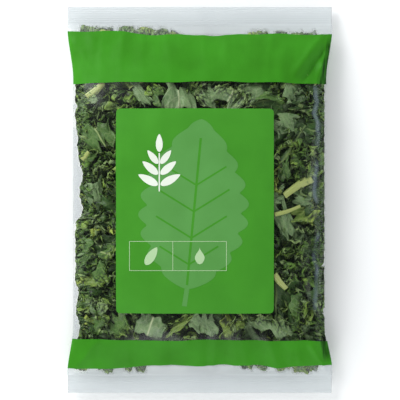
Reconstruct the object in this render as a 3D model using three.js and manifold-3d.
// A sealed pillow bag of chopped curly kale, lying on its back.
// Millimetres, +Z up, +Y towards the top end of the bag. The origin is under the middle of the bag, on
// the surface that it lies on.
//
// One sheet of clear film is wrapped into a tube, closed by a lengthwise seam flap down the back and by a
// ribbed seal across each end. Green ink goes round the tube as a band near each end, and a green label
// sits on the front. Inside are loose ruffled leaf pieces and a few chopped stalks.

import * as THREE from "three";
import { mergeVertices } from "three/addons/utils/BufferGeometryUtils.js";
import Module from "manifold-3d";

const wasm = await Module();
wasm.setup();

// ---- Driving dimensions ----------------------------------------------------------------------------

const BAG_LENGTH = 366; // cut end to cut end
const BAG_WIDTH = 250; // flat tube, as at the two end seals
const WAIST = 238; // width of the filled part
const SEAL_LENGTH = 17; // ribbed seal across each end
const FILM = 0.6; // wall, thicker than real film so that it is a sound solid
const CROWN = 28; // height of the front panel over the side folds
const BELLY = 22; // depth of the back panel under the side folds
const FOLD_HEIGHT = 21; // of the side folds in the middle of the bag, over the surface
const SEAL_HEIGHT = 9; // of the end seals over the surface
const SEAL_DROOP = 0.12; // fall of an end seal per millimetre of its length
const RISE_LENGTH = 120; // distance from a seal over which the bag swells to its full height
const NECK_LENGTH = 50; // distance from a seal over which it narrows to its waist

const FLAP_WIDTH = 12; // seam flap down the back
const FLAP = 0.6; // thickness of the flap, pressed flat
const VENT = { radius: 1, spacing: 30, count: 4, y: 100 }; // wider than the needle holes of real film

const INK_GAP = 0.3; // printed skins stand this far off the film
const INK = 0.5; // and are this thick
const TOP_BAND = { from: 112.7, to: 159 }; // along the bag, from its middle
const BOTTOM_BAND = { from: -158, to: -129.8 };
const LABEL = { left: -78.4, right: 69.4, bottom: -107, top: 86, corner: 4 };

const LEAF = 0.8; // thickness of a leaf
const LEAF_GAP = 0.4; // least space between two pieces
const LEAF_WIDTH = [50, 60];
const LEAF_LENGTH = [42, 52];
const RUFFLE = [5, 8]; // height of the waves along a leaf's edge
const WAVES = [2.4, 3.4]; // across a leaf
const FRONT_GRID = { columns: 5, rows: 7 }; // leaves that lie under the front panel
const BACK_GRID = { columns: 3, rows: 4 }; // and on the back panel
const SEED = 11;

// Chopped stalks, by the middle of each: heading is in degrees from +X, side 1 is the front of the bag.
const STALKS = [
  { x: -98.7, y: 104, heading: 43, length: 20, radius: 2.8, side: 1 },
  { x: 92.6, y: 11.3, heading: 30, length: 30, radius: 3.2, side: 1 },
  { x: 82.6, y: -9.6, heading: 18, length: 26, radius: 1.9, side: 1 },
  { x: -108, y: 41.6, heading: 50, length: 10, radius: 2.4, side: 1 },
  { x: 76, y: -76.8, heading: -50, length: 18, radius: 3, side: 1 },
  { x: 34, y: 62, heading: 70, length: 32, radius: 3, side: -1 },
  { x: -52, y: -38, heading: -20, length: 26, radius: 2.6, side: -1 },
];

const HALF_LENGTH = BAG_LENGTH / 2;
const BODY = HALF_LENGTH - SEAL_LENGTH; // from the middle to the inner edge of a seal
const DEPTH = 22; // nominal half depth of the space that the leaves share
const FILM_CLEARANCE = 1.8; // from the middle of a leaf's thickness to the film
const SIDE_MARGIN = 5; // least distance of a leaf from a side fold
const END_MARGIN = 7; // and from a seal
const LEAF_GRID = { columns: 10, rows: 4 }; // a leaf's mesh

// ---- Helpers ---------------------------------------------------------------------------------------

const clamp = (value, low, high) => Math.min(high, Math.max(low, value));
const lerp = (a, b, t) => a + (b - a) * t;
const smooth = (t) => t * t * (3 - 2 * t);
const radians = THREE.MathUtils.degToRad;

// A repeatable stream of numbers from 0 to 1.
function randomStream(seed) {
  let state = seed;
  return () => {
    state = (state + 0x6d2b79f5) | 0;
    let mixed = Math.imul(state ^ (state >>> 15), 1 | state);
    mixed = (mixed + Math.imul(mixed ^ (mixed >>> 7), 61 | mixed)) ^ mixed;
    return ((mixed ^ (mixed >>> 14)) >>> 0) / 4294967296;
  };
}

function solidOf(geometry) {
  const bare = new THREE.BufferGeometry();
  bare.setAttribute("position", geometry.getAttribute("position"));
  bare.setIndex(geometry.getIndex());
  const merged = mergeVertices(bare, 1e-4);
  return new wasm.Manifold(
    new wasm.Mesh({
      numProp: 3,
      vertProperties: merged.getAttribute("position").array,
      triVerts: new Uint32Array(merged.getIndex().array),
    }),
  );
}

function geometryOf(solid) {
  const mesh = solid.getMesh();
  const geometry = new THREE.BufferGeometry();
  geometry.setAttribute("position", new THREE.BufferAttribute(mesh.vertProperties, 3));
  geometry.setIndex(new THREE.BufferAttribute(mesh.triVerts, 1));
  geometry.computeVertexNormals();
  return geometry;
}

function indexedGeometry(points, index) {
  const geometry = new THREE.BufferGeometry();
  const positions = points.flatMap((p) => [p.x, p.y, p.z]);
  geometry.setAttribute("position", new THREE.Float32BufferAttribute(positions, 3));
  geometry.setIndex(index);
  return geometry;
}

// A closed solid through rings of points. Each ring runs from its right end over the top to its left end
// and back underneath, and the rings follow each other along +Y. A ring pressed to a line needs no cap.
function loft(rings) {
  const around = rings[0].length;
  const index = [];
  for (let row = 0; row + 1 < rings.length; row++) {
    for (let i = 0; i < around; i++) {
      const a = row * around + i;
      const b = row * around + ((i + 1) % around);
      index.push(a, a + around, b, b, a + around, b + around);
    }
  }
  const cap = (row, faces) => {
    if (rings[row][1].distanceTo(rings[row][around - 1]) < 1e-3) return;
    for (let i = 0; i < around / 2; i++) {
      const [a, b, c, d] = [i, i + 1, around - i - 1, (around - i) % around].map((k) => k + row * around);
      if (b !== c) index.push(...faces(a, b, c));
      if (a !== d) index.push(...faces(a, c, d));
    }
  };
  cap(0, (a, b, c) => [a, b, c]);
  cap(rings.length - 1, (a, b, c) => [a, c, b]);
  return solidOf(indexedGeometry(rings.flat(), index));
}

// ---- The bag's form --------------------------------------------------------------------------------

// 0 at a seal, 1 where the bag is at its full height.
function fullness(y) {
  const fromSeal = clamp((BODY - Math.abs(y)) / RISE_LENGTH, 0, 1);
  return Math.sin((Math.PI / 2) * fromSeal ** 0.8);
}

function halfWidth(y) {
  const fromSeal = clamp((BODY - Math.abs(y)) / NECK_LENGTH, 0, 1);
  return lerp(BAG_WIDTH, WAIST, smooth(fromSeal)) / 2;
}

function foldHeight(y) {
  const droop = Math.max(0, Math.abs(y) - BODY) * SEAL_DROOP;
  return lerp(SEAL_HEIGHT, FOLD_HEIGHT, fullness(y)) - droop;
}

// Height of the front panel (side 1) or the back panel (side -1), moved outwards by offset. Across is -1
// at the left side fold and 1 at the right one. The back panel lies flat where it meets the surface.
function panelHeight(across, y, side, offset) {
  const u = Math.min(1, Math.abs(across));
  const bulge = side > 0 ? CROWN * (1 - u ** 2.4) ** (1 / 1.8) : BELLY * Math.sqrt(1 - u ** 4);
  const wall = offset * Math.sqrt(1 - u ** 16);
  const height = foldHeight(y) + side * (bulge * fullness(y) + wall);
  return side > 0 ? height : Math.max(height, FLAP + FILM - offset);
}

// Places along the bag, closer together towards the seals, where the form turns fastest.
function stations(reach) {
  const ROWS = 20;
  const body = Array.from({ length: ROWS + 1 }, (_, row) => BODY * Math.sin(Math.PI * (row / ROWS - 0.5)));
  return reach > BODY ? [-reach, ...body, reach] : body;
}

// The closed form of the bag, moved outwards by offset, from y = -reach to y = reach.
function pillow(offset, reach) {
  const AROUND = 28;
  const ring = (y) =>
    Array.from({ length: AROUND }, (_, i) => {
      const across = Math.cos((2 * Math.PI * i) / AROUND);
      const side = i < AROUND / 2 ? 1 : -1;
      return new THREE.Vector3(
        (halfWidth(y) + offset) * across,
        y,
        panelHeight(across, y, side, offset),
      );
    });
  return loft(stations(reach).map(ring));
}

// ---- Film ------------------------------------------------------------------------------------------

// The strip under the side folds that holds the seam flap, wider by clearance on each side.
function flapZone(clearance) {
  const left = -clearance;
  const right = FLAP_WIDTH + clearance;
  const ring = (y) =>
    [
      [right, foldHeight(y)],
      [left, foldHeight(y)],
      [left, -FOLD_HEIGHT],
      [right, -FOLD_HEIGHT],
    ].map(([x, z]) => new THREE.Vector3(x, y, z));
  return loft(stations(HALF_LENGTH + 1).map(ring));
}

function filmBag() {
  const flap = pillow(FILM + FLAP, HALF_LENGTH).intersect(flapZone(0));
  let film = pillow(FILM, HALF_LENGTH).add(flap).subtract(pillow(0, BODY));
  for (let k = 0; k < VENT.count; k++) {
    const vent = new THREE.CylinderGeometry(VENT.radius, VENT.radius, FOLD_HEIGHT, 6);
    vent.rotateX(Math.PI / 2);
    vent.translate((k - (VENT.count - 1) / 2) * VENT.spacing, VENT.y, 0);
    film = film.subtract(solidOf(vent));
  }
  return film;
}

// ---- Print -----------------------------------------------------------------------------------------

function inkCoat() {
  const inside = FILM + INK_GAP;
  return pillow(inside + INK, HALF_LENGTH).subtract(pillow(inside, HALF_LENGTH));
}

function printedBand({ from, to }) {
  const slice = new THREE.BoxGeometry(2 * BAG_WIDTH, to - from, 4 * (CROWN + FOLD_HEIGHT));
  slice.translate(0, (from + to) / 2, 0);
  return inkCoat().intersect(solidOf(slice)).subtract(flapZone(INK_GAP));
}

function frontLabel() {
  const { left, right, bottom, top, corner } = LABEL;
  const outline = new THREE.Shape();
  outline.absarc(right - corner, top - corner, corner, 0, Math.PI / 2);
  outline.absarc(left + corner, top - corner, corner, Math.PI / 2, Math.PI);
  outline.absarc(left + corner, bottom + corner, corner, Math.PI, 1.5 * Math.PI);
  outline.absarc(right - corner, bottom + corner, corner, 1.5 * Math.PI, 2 * Math.PI);
  const column = new THREE.ExtrudeGeometry(outline, {
    depth: 2 * CROWN,
    bevelEnabled: false,
    curveSegments: 3,
  });
  column.translate(0, 0, FOLD_HEIGHT);
  return inkCoat().intersect(solidOf(column));
}

// ---- Kale ------------------------------------------------------------------------------------------

// A point of the space inside the film. Depth runs from -DEPTH on the back panel to DEPTH under the front
// one, so a piece that reaches past the film is pressed flat against it.
function packed(x, y, depth) {
  const across = x / halfWidth(y);
  const top = panelHeight(across, y, 1, 0) - FILM_CLEARANCE;
  const bottom = panelHeight(across, y, -1, 0) + FILM_CLEARANCE;
  const share = (clamp(depth, -DEPTH, DEPTH) / DEPTH + 1) / 2;
  return new THREE.Vector3(x, y, lerp(bottom, Math.max(top, bottom), share));
}

// The middle surface of a leaf lying flat at its own place, as rows of points from its cut end to its
// frilled edge: x and y are those of the bag, z is the height over the leaf's middle.
function looseLeaf(leaf) {
  const turn = new THREE.Vector3(0, 0, 1);
  const middle = new THREE.Vector3(leaf.x, leaf.y, 0);
  const points = [];
  for (let j = 0; j <= LEAF_GRID.rows; j++) {
    for (let i = 0; i <= LEAF_GRID.columns; i++) {
      const u = (2 * i) / LEAF_GRID.columns - 1;
      const v = j / LEAF_GRID.rows;
      const phase = Math.PI * leaf.waves * u + leaf.phase;
      const wave = leaf.ruffle * v ** 1.4;
      const across = (leaf.width / 2) * u * lerp(0.6, 1, smooth(v));
      const along = leaf.length * (v - 0.5 - 0.22 * v * u * u) + 0.3 * wave * Math.cos(phase);
      const tilt = leaf.tiltAcross * across + leaf.tiltAlong * along;
      const lift = wave * Math.sin(phase) + leaf.fold * Math.abs(u) * (1 - v) + tilt;
      points.push(new THREE.Vector3(across, along, lift).applyAxisAngle(turn, leaf.heading).add(middle));
    }
  }
  return points;
}

// Moves a loose leaf sideways until all of it is within the filled part of the bag.
function moveInside(points) {
  const { min, max } = new THREE.Box3().setFromPoints(points);
  const reachX = WAIST / 2 - SIDE_MARGIN;
  const reachY = BODY - END_MARGIN;
  const shift = new THREE.Vector3(
    Math.max(0, -reachX - min.x) - Math.max(0, max.x - reachX),
    Math.max(0, -reachY - min.y) - Math.max(0, max.y - reachY),
    0,
  );
  points.forEach((point) => point.add(shift));
}

// A thin ruffled blade around a loose leaf laid at a depth, its two faces split into the same triangles.
function leafBlade(loose, depth, thickness) {
  const { columns: COLUMNS, rows: ROWS } = LEAF_GRID;
  const wide = COLUMNS + 1;
  const grid = loose.map(({ x, y, z }) => packed(x, y, depth + z));
  const at = (i, j) => grid[clamp(j, 0, ROWS) * wide + clamp(i, 0, COLUMNS)];
  const half = grid.map((_, k) => {
    const [i, j] = [k % wide, Math.floor(k / wide)];
    const alongU = at(i + 1, j).clone().sub(at(i - 1, j));
    const alongV = at(i, j + 1).clone().sub(at(i, j - 1));
    return alongU.cross(alongV).setLength(thickness / 2);
  });
  const points = [
    ...grid.map((p, k) => p.clone().add(half[k])),
    ...grid.map((p, k) => p.clone().sub(half[k])),
  ];
  const under = grid.length;
  const index = [];
  for (let j = 0; j < ROWS; j++) {
    for (let i = 0; i < COLUMNS; i++) {
      const [a, b, c, d] = [j * wide + i, j * wide + i + 1, (j + 1) * wide + i + 1, (j + 1) * wide + i];
      index.push(a, b, c, a, c, d, under + a, under + c, under + b, under + a, under + d, under + c);
    }
  }
  const rim = [];
  for (let i = 0; i < COLUMNS; i++) rim.push(i);
  for (let j = 0; j < ROWS; j++) rim.push(j * wide + COLUMNS);
  for (let i = COLUMNS; i > 0; i--) rim.push(ROWS * wide + i);
  for (let j = ROWS; j > 0; j--) rim.push(j * wide);
  rim.forEach((a, k) => {
    const b = rim[(k + 1) % rim.length];
    index.push(a, under + a, b, b, under + a, under + b);
  });
  return solidOf(indexedGeometry(points, index));
}

// A chopped stalk just under one of the panels: grooved on one side, thinner at one end, cut square.
function stalkSolid({ x, y, heading, length, radius, side }) {
  const AROUND = 8;
  const STEPS = 4;
  const turn = radians(heading);
  const ahead = new THREE.Vector3(Math.cos(turn), Math.sin(turn), 0);
  const right = new THREE.Vector3(Math.sin(turn), -Math.cos(turn), 0);
  const rings = [];
  for (let step = 0; step <= STEPS; step++) {
    const t = step / STEPS - 0.5;
    const bend = 0.08 * length * (1 - 4 * t * t);
    const middle = new THREE.Vector3(x, y, 0).addScaledVector(ahead, t * length).addScaledVector(right, bend);
    const thick = radius * lerp(1.1, 0.8, step / STEPS);
    const { z } = packed(middle.x, middle.y, side * DEPTH);
    const ring = Array.from({ length: AROUND }, (_, i) => {
      const angle = (2 * Math.PI * i) / AROUND;
      const height = Math.sin(angle) * (Math.sin(angle) > 0.9 ? 0.6 : 0.9);
      return new THREE.Vector3(middle.x, middle.y, z - side * (radius - 0.5))
        .addScaledVector(right, Math.cos(angle) * thick)
        .add(new THREE.Vector3(0, 0, height * thick));
    });
    rings.push(ring);
  }
  return loft(rings);
}

function boxesMeet(a, b) {
  return [0, 1, 2].every((k) => a.min[k] < b.max[k] && b.min[k] < a.max[k]);
}

// True if a blade meets none of the pieces in the bag, nor the film.
function isFree(blade, placed, film) {
  const box = blade.boundingBox();
  const near = placed.filter((other) => boxesMeet(box, other.box));
  return [...near, { solid: film }].every(({ solid }) => blade.intersect(solid).isEmpty());
}

// Lays one leaf as near to its panel as the pieces already there allow: of a few random ways to lie, the
// one that ends up nearest.
function layLeaf(cell, side, placed, film, random) {
  const TRIES = 6;
  const STEP = 1.5;
  const pick = ([least, most]) => lerp(least, most, random());
  let best = null;
  for (let attempt = 0; attempt < TRIES; attempt++) {
    const loose = looseLeaf({
      x: cell.x + pick([-8, 8]),
      y: cell.y + pick([-8, 8]),
      width: pick(LEAF_WIDTH),
      length: pick(LEAF_LENGTH),
      ruffle: pick(RUFFLE),
      waves: pick(WAVES),
      phase: pick([0, 2 * Math.PI]),
      heading: pick([0, 2 * Math.PI]),
      fold: pick([-4, 4]),
      tiltAcross: pick([-0.16, 0.16]),
      tiltAlong: pick([-0.22, 0.22]),
    });
    moveInside(loose);
    for (let sunk = 0; sunk < 2 * DEPTH && (!best || sunk < best.sunk); sunk += STEP) {
      const depth = side * (DEPTH - 3 - sunk);
      if (isFree(leafBlade(loose, depth, LEAF + 2 * LEAF_GAP), placed, film)) {
        best = { loose, depth, sunk };
        break;
      }
    }
  }
  return best && leafBlade(best.loose, best.depth, LEAF);
}

// Cells of a panel, row by row, every other row moved half a cell, and taken in a shuffled order.
function cells({ columns, rows }, random) {
  const width = WAIST - 2 * 29;
  const length = 2 * BODY - 2 * 25;
  const found = [];
  for (let row = 0; row < rows; row++) {
    for (let column = 0; column < columns; column++) {
      const shift = row % 2 ? 0.12 : -0.12;
      found.push({
        x: width * ((column + shift) / (columns - 1) - 0.5),
        y: length * (row / (rows - 1) - 0.5),
        order: random(),
      });
    }
  }
  return found.sort((a, b) => a.order - b.order);
}

function kale(film) {
  const random = randomStream(SEED);
  const placed = [];
  const add = (kind, solid) => placed.push({ kind, solid, box: solid.boundingBox() });
  STALKS.forEach((stalk) => add("stalk", stalkSolid(stalk)));
  const lay = (grid, side) =>
    cells(grid, random).forEach((cell) => {
      const blade = layLeaf(cell, side, placed, film, random);
      if (blade) add("leaf", blade);
    });
  lay(FRONT_GRID, 1);
  lay(BACK_GRID, -1);
  return placed;
}

// ---- Materials and assembly ------------------------------------------------------------------------

const clearFilm = new THREE.MeshStandardMaterial({
  color: 0xdfe8ea,
  roughness: 0.15,
  metalness: 0,
  transparent: true,
  opacity: 0.25,
});
const greenInk = new THREE.MeshStandardMaterial({ color: 0x4a982d, roughness: 0.35, metalness: 0 });
const labelInk = new THREE.MeshStandardMaterial({ color: 0x4fa038, roughness: 0.35, metalness: 0 });
const leafGreen = new THREE.MeshStandardMaterial({ color: 0x3f5f2b, roughness: 0.6, metalness: 0 });
const stalkGreen = new THREE.MeshStandardMaterial({ color: 0xb4bd78, roughness: 0.5, metalness: 0 });

const bag = new THREE.Group();

function addPiece(name, solid, material) {
  const mesh = new THREE.Mesh(geometryOf(solid), material);
  mesh.name = name;
  bag.add(mesh);
}

const film = filmBag();
addPiece("film_bag", film, clearFilm);
addPiece("printed_top_band", printedBand(TOP_BAND), greenInk);
addPiece("printed_bottom_band", printedBand(BOTTOM_BAND), greenInk);
addPiece("front_label", frontLabel(), labelInk);

const counts = { leaf: 0, stalk: 0 };
for (const { kind, solid } of kale(film)) {
  counts[kind] += 1;
  const number = String(counts[kind]).padStart(2, "0");
  addPiece(`kale_${kind}_${number}`, solid, kind === "leaf" ? leafGreen : stalkGreen);
}

export default bag;
